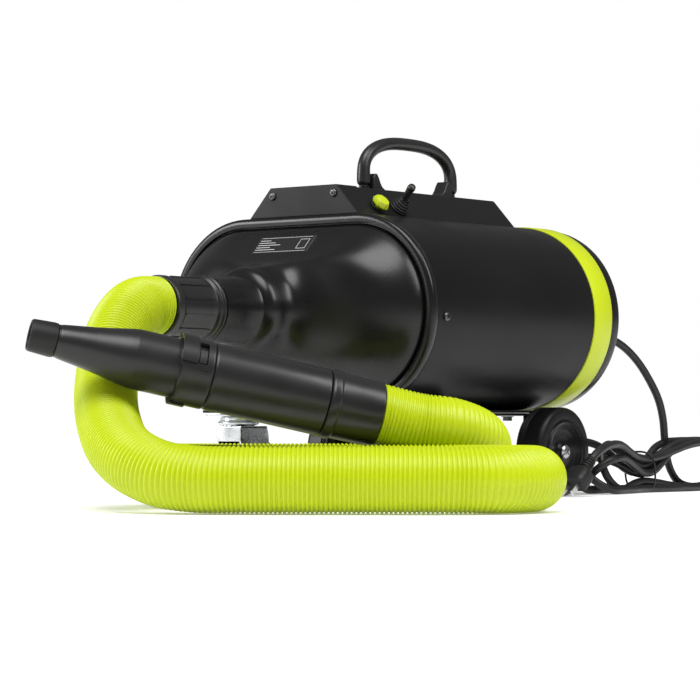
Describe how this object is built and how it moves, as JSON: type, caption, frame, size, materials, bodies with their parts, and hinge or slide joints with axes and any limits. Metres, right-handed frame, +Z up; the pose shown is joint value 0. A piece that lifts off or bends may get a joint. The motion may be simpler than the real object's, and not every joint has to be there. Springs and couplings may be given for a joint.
{
  "type": "pet dryer",
  "caption": "Wheeled twin-motor pet dryer: stadium-section blower casing with a carry handle, a lime corrugated hose and a twist-on tapered nozzle, and a tied power cord.",
  "frame": {"origin": "on the floor, under the middle of the machine and its handpiece together (cords not counted)", "axes": "+Z up, the outlet and handpiece towards -Y, the switches on the +X side of the casing's top"},
  "size_m": [0.6451, 1.0639, 0.3867],
  "materials": {
    "casing_black": "satin black powder coat",
    "panel_black": "satin black paint",
    "cover_black": "low-gloss black moulding",
    "lime": "semi-gloss lime green",
    "hose_lime": "ribbed lime green hose",
    "grip_black": "satin black",
    "rubber_black": "matte black",
    "tread": "matte black tread",
    "zinc": "bright zinc plate",
    "bulkhead_alloy": "plain sheet",
    "steel": "plain steel",
    "motor_can": "plain metal",
    "foam": "open foam",
    "cord_grey": "satin dark grey",
    "plug_brass": "bright"
  },
  "bodies": {
    "machine": {"casing_wrap": "casing_black", "front_cover": "cover_black", "rear_ring": "lime", "rear_cover": "cover_black", "filter_foam": "foam", "spout": "cover_black", "motor_bulkhead": "bulkhead_alloy", "control_box": "panel_black", "control_box_front": "panel_black", "breaker_bezel": "rubber_black", "toggle_boot": "rubber_black", "handle_bracket": "panel_black", "handle_pin_front": "steel", "handle_pin_rear": "steel", "base_plate": "panel_black", "rear_axle": "steel", "outlet_cuff": "grip_black", "hose": "hose_lime", "hand_cuff": "grip_black", "hand_tube": "grip_black", "bayonet_collar": "grip_black", "cable_gland": "rubber_black", "power_cord": "cord_grey", "power_cord_hank": "cord_grey", "power_cord_lead": "cord_grey", "cord_tie": "cord_grey", "plug_body": "rubber_black", "plug_pin_left": "plug_brass", "plug_pin_right": "plug_brass", "motor_shell_left": "motor_can", "front_plate_screw_left": "steel", "side_screw_left": "steel", "axle_bracket_left": "panel_black", "base_bolt_left": "zinc", "wheel_screw_left": "zinc", "caster_plate_left": "zinc", "motor_shell_right": "motor_can", "front_plate_screw_right": "steel", "side_screw_right": "steel", "axle_bracket_right": "panel_black", "base_bolt_right": "zinc", "wheel_screw_right": "zinc", "caster_plate_right": "zinc"},
    "handle": {"handle_grip": "grip_black"},
    "toggle": {"toggle_lever": "grip_black"},
    "breaker": {"breaker_button": "lime"},
    "nozzle_end": {"nozzle": "grip_black", "nozzle_tip": "rubber_black"},
    "caster_swivel_left": {"caster_fork_left": "zinc", "caster_axle_left": "steel"},
    "caster_roller_left": {"caster_wheel_left": "tread"},
    "rear_wheel_left": {"rear_tyre_left": "tread", "rear_hub_left": "grip_black"},
    "fan_left": {"rotor_left": "steel"},
    "caster_swivel_right": {"caster_fork_right": "zinc", "caster_axle_right": "steel"},
    "caster_roller_right": {"caster_wheel_right": "tread"},
    "rear_wheel_right": {"rear_tyre_right": "tread", "rear_hub_right": "grip_black"},
    "fan_right": {"rotor_right": "steel"}
  },
  "joints": [
    {"name": "handle_fold", "type": "hinge", "parent": "machine", "child": "handle", "pos_m": [-0.053, 0.228, 0.338], "axis": [0, 1, 0], "range_deg": [-90, 90]},
    {"name": "toggle_tilt", "type": "hinge", "parent": "machine", "child": "toggle", "pos_m": [0.0112, 0.128, 0.30223], "axis": [-0.6709, 0, 0.7415], "range_deg": [0, 24]},
    {"name": "breaker_press", "type": "slide", "parent": "machine", "child": "breaker", "axis": [-0.7415, 0, -0.6709], "range_m": [0, 0.002], "stiffness_N_per_m": 600},
    {"name": "nozzle_twist", "type": "hinge", "parent": "machine", "child": "nozzle_end", "pos_m": [0.20739, -0.15776, 0.08622], "axis": [-0.6128, -0.7591, 0.2195], "range_deg": [0, 15]},
    {"name": "caster_swivel_left", "type": "hinge", "parent": "machine", "child": "caster_swivel_left", "pos_m": [-0.166, 0.078, 0.085], "axis": [0, 0, 1], "continuous": true},
    {"name": "caster_roll_left", "type": "hinge", "parent": "caster_swivel_left", "child": "caster_roller_left", "pos_m": [-0.166, 0.1, 0.032], "axis": [1, 0, 0], "continuous": true},
    {"name": "wheel_roll_left", "type": "hinge", "parent": "machine", "child": "rear_wheel_left", "pos_m": [-0.198, 0.295, 0.0475], "axis": [1, 0, 0], "continuous": true},
    {"name": "fan_spin_left", "type": "hinge", "parent": "machine", "child": "fan_left", "pos_m": [-0.137, 0.194, 0.192], "axis": [0, 1, 0], "continuous": true},
    {"name": "caster_swivel_right", "type": "hinge", "parent": "machine", "child": "caster_swivel_right", "pos_m": [0.06, 0.078, 0.085], "axis": [0, 0, 1], "continuous": true},
    {"name": "caster_roll_right", "type": "hinge", "parent": "caster_swivel_right", "child": "caster_roller_right", "pos_m": [0.06, 0.1, 0.032], "axis": [1, 0, 0], "continuous": true},
    {"name": "wheel_roll_right", "type": "hinge", "parent": "machine", "child": "rear_wheel_right", "pos_m": [0.092, 0.295, 0.0475], "axis": [1, 0, 0], "continuous": true},
    {"name": "fan_spin_right", "type": "hinge", "parent": "machine", "child": "fan_right", "pos_m": [0.031, 0.194, 0.192], "axis": [0, 1, 0], "continuous": true}
  ]
}
